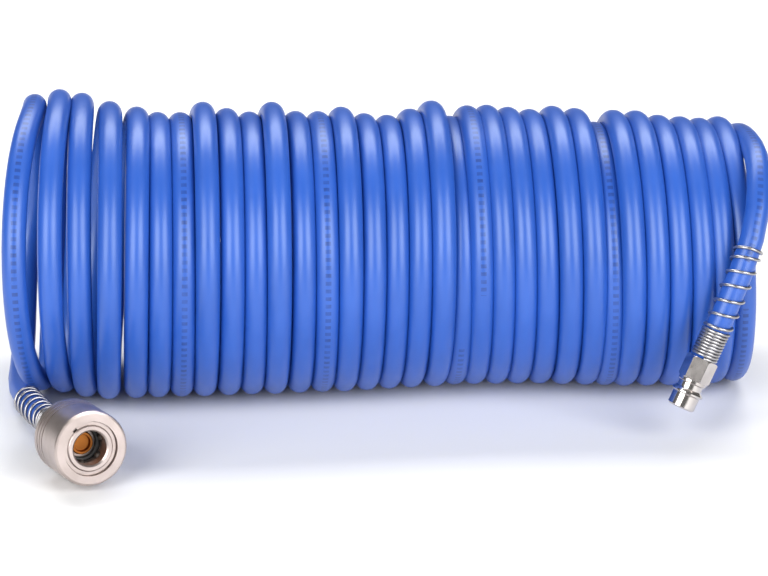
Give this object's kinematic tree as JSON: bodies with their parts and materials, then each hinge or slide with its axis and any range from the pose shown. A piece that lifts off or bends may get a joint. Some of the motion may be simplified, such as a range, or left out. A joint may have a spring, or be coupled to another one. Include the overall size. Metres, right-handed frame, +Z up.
{
  "type": "recoil air hose",
  "caption": "Recoil compressed-air hose: a tightly wound blue plastic tube with a spring-loaded quick coupler on one end, a plug on the other and wire kink guards at both.",
  "frame": {"origin": "on the floor, under the middle of the whole object's box, with the coil lying on its side", "axes": "+X along the coil from the coupler's end to the plug's end, -Y towards the front, where both fittings are, +Z up"},
  "size_m": [0.2548, 0.1456, 0.1006],
  "materials": {
    "hose": "semi-gloss translucent polyurethane",
    "nickel": "satin nickel plating over brass, turned",
    "nickel_bright": "bright nickel plating",
    "spring_steel": "bright drawn spring wire",
    "ball_steel": "polished hardened steel",
    "brass": "turned, unplated",
    "seal": "black nitrile",
    "gasket": "dark sealing fibre"
  },
  "bodies": {
    "hose_end": {"hose_coil": "hose", "hose_tail_coupler": "hose", "coupler_spring_guard": "spring_steel", "coupler_hose_nut": "nickel_bright", "rear_adapter": "nickel_bright", "body_gasket": "gasket", "coupler_body": "nickel", "sleeve_retaining_ring": "spring_steel", "plug_seal_ring": "seal", "sleeve_spring": "spring_steel", "valve_spring": "spring_steel"},
    "release_sleeve": {"release_sleeve": "nickel"},
    "valve": {"valve_poppet": "brass", "valve_seal": "seal"},
    "plug_end": {"hose_tail_plug": "hose", "plug_spring_guard": "spring_steel", "plug_hose_nut": "nickel_bright", "plug_nipple": "nickel_bright"},
    "ball_1": {"locking_ball_1": "ball_steel"},
    "ball_2": {"locking_ball_2": "ball_steel"},
    "ball_3": {"locking_ball_3": "ball_steel"},
    "ball_4": {"locking_ball_4": "ball_steel"},
    "ball_5": {"locking_ball_5": "ball_steel"},
    "ball_6": {"locking_ball_6": "ball_steel"}
  },
  "joints": [
    {"name": "sleeve_slide", "type": "slide", "parent": "hose_end", "child": "release_sleeve", "axis": [-0.339, 0.9314, -0.1323], "range_m": [0, 0.0025], "stiffness_N_per_m": 1500, "springref_m": -0.005, "deforming": ["sleeve_spring"]},
    {"name": "valve_slide", "type": "slide", "parent": "hose_end", "child": "valve", "axis": [-0.339, 0.9314, -0.1323], "range_m": [0, 0.004], "stiffness_N_per_m": 600, "springref_m": -0.003, "deforming": ["valve_spring"]},
    {"name": "hose_stretch", "type": "slide", "parent": "hose_end", "child": "plug_end", "axis": [1, 0, 0], "range_m": [0, 2], "stiffness_N_per_m": 4, "deforming": ["hose_coil"]},
    {"name": "ball_1_slide", "type": "slide", "parent": "hose_end", "child": "ball_1", "axis": [0.896, 0.3625, 0.2565], "range_m": [0, 0.0008]},
    {"name": "ball_2_slide", "type": "slide", "parent": "hose_end", "child": "ball_2", "axis": [0.1995, 0.2086, 0.9574], "range_m": [0, 0.0008]},
    {"name": "ball_3_slide", "type": "slide", "parent": "hose_end", "child": "ball_3", "axis": [-0.6964, -0.154, 0.7009], "range_m": [0, 0.0008]},
    {"name": "ball_4_slide", "type": "slide", "parent": "hose_end", "child": "ball_4", "axis": [-0.896, -0.3625, -0.2565], "range_m": [0, 0.0008]},
    {"name": "ball_5_slide", "type": "slide", "parent": "hose_end", "child": "ball_5", "axis": [-0.1995, -0.2086, -0.9574], "range_m": [0, 0.0008]},
    {"name": "ball_6_slide", "type": "slide", "parent": "hose_end", "child": "ball_6", "axis": [0.6964, 0.154, -0.7009], "range_m": [0, 0.0008]}
  ],
  "couplings": [
    {"joint": "ball_1_slide", "follows": "sleeve_slide", "ratio": 0.32},
    {"joint": "ball_2_slide", "follows": "sleeve_slide", "ratio": 0.32},
    {"joint": "ball_3_slide", "follows": "sleeve_slide", "ratio": 0.32},
    {"joint": "ball_4_slide", "follows": "sleeve_slide", "ratio": 0.32},
    {"joint": "ball_5_slide", "follows": "sleeve_slide", "ratio": 0.32},
    {"joint": "ball_6_slide", "follows": "sleeve_slide", "ratio": 0.32}
  ]
}
